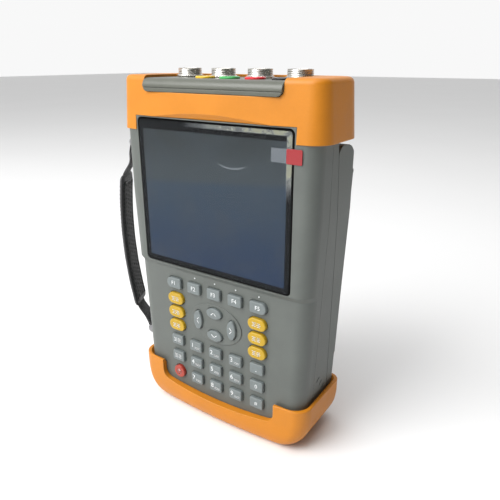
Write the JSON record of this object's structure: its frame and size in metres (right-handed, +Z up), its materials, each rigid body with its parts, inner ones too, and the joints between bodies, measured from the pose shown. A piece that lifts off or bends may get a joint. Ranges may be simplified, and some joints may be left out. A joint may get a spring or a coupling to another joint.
{
  "type": "handheld electrical analyzer",
  "caption": "Handheld electrical analyzer with a display, keypad, rubber end caps, top connectors and voltage sockets, a fold-out stand and a hand strap.",
  "frame": {"origin": "centre of the flat face that the instrument stands on", "axes": "+Z up along the case towards the connectors, -Y out of the display, +X the user's right"},
  "size_m": [0.1873, 0.06, 0.249],
  "materials": {
    "case_plastic": "fine textured grey moulding",
    "stand_plastic": "fine textured grey moulding",
    "cap_rubber": "smooth satin orange",
    "panel_plastic": "fine textured grey moulding",
    "connector_metal": "plated, threaded",
    "black_plastic": "moulded black",
    "steel": "zinc plated",
    "socket_yellow": "moulded",
    "socket_green": "moulded",
    "socket_red": "moulded",
    "socket_black": "moulded",
    "contact_brass": "plated",
    "window": "clear cover window",
    "display_face": "dark unlit display",
    "film": "thin protective film",
    "tab_red": "red film tab",
    "silicone": "moulded silicone",
    "circuit_board": "solder mask",
    "battery_wrap": "heat-shrink wrap",
    "strap_padding": "padded, perforated lining",
    "strap_webbing": "woven nylon",
    "key_grey": "smooth silicone",
    "key_yellow": "smooth silicone",
    "key_red": "smooth silicone"
  },
  "bodies": {
    "root": {"front_shell": "case_plastic", "rear_shell": "case_plastic", "rear_cover": "case_plastic", "top_cap": "cap_rubber", "bottom_cap": "cap_rubber", "connector_panel": "panel_plastic", "connector_shells": "connector_metal", "connector_inserts": "black_plastic", "connector_nuts": "steel", "socket_yellow": "socket_yellow", "socket_green": "socket_green", "socket_red": "socket_red", "socket_black": "socket_black", "socket_contacts": "contact_brass", "display_window": "window", "lcd_module": "display_face", "screen_film": "film", "film_pull_tab": "tab_red", "key_mat": "silicone", "keypad_board": "circuit_board", "main_board": "circuit_board", "battery_pack": "battery_wrap", "buzzer": "black_plastic", "case_screws": "steel", "cover_screws": "steel", "stand_pins": "steel", "strap_pad": "strap_padding", "strap_webbing": "strap_webbing", "strap_anchors": "steel"},
    "tilt_stand": {"tilt_stand": "stand_plastic"},
    "key_f1": {"key_f1": "key_grey"},
    "key_f2": {"key_f2": "key_grey"},
    "key_f3": {"key_f3": "key_grey"},
    "key_f4": {"key_f4": "key_grey"},
    "key_f5": {"key_f5": "key_grey"},
    "key_yellow_left_1": {"key_yellow_left_1": "key_yellow"},
    "key_yellow_left_2": {"key_yellow_left_2": "key_yellow"},
    "key_yellow_left_3": {"key_yellow_left_3": "key_yellow"},
    "key_yellow_right_1": {"key_yellow_right_1": "key_yellow"},
    "key_yellow_right_2": {"key_yellow_right_2": "key_yellow"},
    "key_yellow_right_3": {"key_yellow_right_3": "key_yellow"},
    "key_up": {"key_up": "key_grey"},
    "key_down": {"key_down": "key_grey"},
    "key_left": {"key_left": "key_grey"},
    "key_right": {"key_right": "key_grey"},
    "key_select": {"key_select": "key_grey"},
    "key_1": {"key_1": "key_grey"},
    "key_2": {"key_2": "key_grey"},
    "key_3": {"key_3": "key_grey"},
    "key_point": {"key_point": "key_grey"},
    "key_return": {"key_return": "key_grey"},
    "key_4": {"key_4": "key_grey"},
    "key_5": {"key_5": "key_grey"},
    "key_6": {"key_6": "key_grey"},
    "key_0": {"key_0": "key_grey"},
    "key_power": {"key_power": "key_red"},
    "key_7": {"key_7": "key_grey"},
    "key_8": {"key_8": "key_grey"},
    "key_9": {"key_9": "key_grey"},
    "key_hash": {"key_hash": "key_grey"}
  },
  "joints": [
    {"name": "stand_fold", "type": "hinge", "parent": "root", "child": "tilt_stand", "pos_m": [0, 0.0279, 0.1882], "axis": [1, 0, 0], "range_deg": [0, 35]},
    {"name": "press_f1", "type": "slide", "parent": "root", "child": "key_f1", "axis": [0, 1, 0], "range_m": [0, 0.0012], "stiffness_N_per_m": 900},
    {"name": "press_f2", "type": "slide", "parent": "root", "child": "key_f2", "axis": [0, 1, 0], "range_m": [0, 0.0012], "stiffness_N_per_m": 900},
    {"name": "press_f3", "type": "slide", "parent": "root", "child": "key_f3", "axis": [0, 1, 0], "range_m": [0, 0.0012], "stiffness_N_per_m": 900},
    {"name": "press_f4", "type": "slide", "parent": "root", "child": "key_f4", "axis": [0, 1, 0], "range_m": [0, 0.0012], "stiffness_N_per_m": 900},
    {"name": "press_f5", "type": "slide", "parent": "root", "child": "key_f5", "axis": [0, 1, 0], "range_m": [0, 0.0012], "stiffness_N_per_m": 900},
    {"name": "press_yellow_left_1", "type": "slide", "parent": "root", "child": "key_yellow_left_1", "axis": [0, 1, 0], "range_m": [0, 0.0012], "stiffness_N_per_m": 900},
    {"name": "press_yellow_left_2", "type": "slide", "parent": "root", "child": "key_yellow_left_2", "axis": [0, 1, 0], "range_m": [0, 0.0012], "stiffness_N_per_m": 900},
    {"name": "press_yellow_left_3", "type": "slide", "parent": "root", "child": "key_yellow_left_3", "axis": [0, 1, 0], "range_m": [0, 0.0012], "stiffness_N_per_m": 900},
    {"name": "press_yellow_right_1", "type": "slide", "parent": "root", "child": "key_yellow_right_1", "axis": [0, 1, 0], "range_m": [0, 0.0012], "stiffness_N_per_m": 900},
    {"name": "press_yellow_right_2", "type": "slide", "parent": "root", "child": "key_yellow_right_2", "axis": [0, 1, 0], "range_m": [0, 0.0012], "stiffness_N_per_m": 900},
    {"name": "press_yellow_right_3", "type": "slide", "parent": "root", "child": "key_yellow_right_3", "axis": [0, 1, 0], "range_m": [0, 0.0012], "stiffness_N_per_m": 900},
    {"name": "press_up", "type": "slide", "parent": "root", "child": "key_up", "axis": [0, 1, 0], "range_m": [0, 0.0012], "stiffness_N_per_m": 900},
    {"name": "press_down", "type": "slide", "parent": "root", "child": "key_down", "axis": [0, 1, 0], "range_m": [0, 0.0012], "stiffness_N_per_m": 900},
    {"name": "press_left", "type": "slide", "parent": "root", "child": "key_left", "axis": [0, 1, 0], "range_m": [0, 0.0012], "stiffness_N_per_m": 900},
    {"name": "press_right", "type": "slide", "parent": "root", "child": "key_right", "axis": [0, 1, 0], "range_m": [0, 0.0012], "stiffness_N_per_m": 900},
    {"name": "press_select", "type": "slide", "parent": "root", "child": "key_select", "axis": [0, 1, 0], "range_m": [0, 0.0012], "stiffness_N_per_m": 900},
    {"name": "press_1", "type": "slide", "parent": "root", "child": "key_1", "axis": [0, 1, 0], "range_m": [0, 0.0012], "stiffness_N_per_m": 900},
    {"name": "press_2", "type": "slide", "parent": "root", "child": "key_2", "axis": [0, 1, 0], "range_m": [0, 0.0012], "stiffness_N_per_m": 900},
    {"name": "press_3", "type": "slide", "parent": "root", "child": "key_3", "axis": [0, 1, 0], "range_m": [0, 0.0012], "stiffness_N_per_m": 900},
    {"name": "press_point", "type": "slide", "parent": "root", "child": "key_point", "axis": [0, 1, 0], "range_m": [0, 0.0012], "stiffness_N_per_m": 900},
    {"name": "press_return", "type": "slide", "parent": "root", "child": "key_return", "axis": [0, 1, 0], "range_m": [0, 0.0012], "stiffness_N_per_m": 900},
    {"name": "press_4", "type": "slide", "parent": "root", "child": "key_4", "axis": [0, 1, 0], "range_m": [0, 0.0012], "stiffness_N_per_m": 900},
    {"name": "press_5", "type": "slide", "parent": "root", "child": "key_5", "axis": [0, 1, 0], "range_m": [0, 0.0012], "stiffness_N_per_m": 900},
    {"name": "press_6", "type": "slide", "parent": "root", "child": "key_6", "axis": [0, 1, 0], "range_m": [0, 0.0012], "stiffness_N_per_m": 900},
    {"name": "press_0", "type": "slide", "parent": "root", "child": "key_0", "axis": [0, 1, 0], "range_m": [0, 0.0012], "stiffness_N_per_m": 900},
    {"name": "press_power", "type": "slide", "parent": "root", "child": "key_power", "axis": [0, 1, 0], "range_m": [0, 0.0012], "stiffness_N_per_m": 900},
    {"name": "press_7", "type": "slide", "parent": "root", "child": "key_7", "axis": [0, 1, 0], "range_m": [0, 0.0012], "stiffness_N_per_m": 900},
    {"name": "press_8", "type": "slide", "parent": "root", "child": "key_8", "axis": [0, 1, 0], "range_m": [0, 0.0012], "stiffness_N_per_m": 900},
    {"name": "press_9", "type": "slide", "parent": "root", "child": "key_9", "axis": [0, 1, 0], "range_m": [0, 0.0012], "stiffness_N_per_m": 900},
    {"name": "press_hash", "type": "slide", "parent": "root", "child": "key_hash", "axis": [0, 1, 0], "range_m": [0, 0.0012], "stiffness_N_per_m": 900}
  ]
}
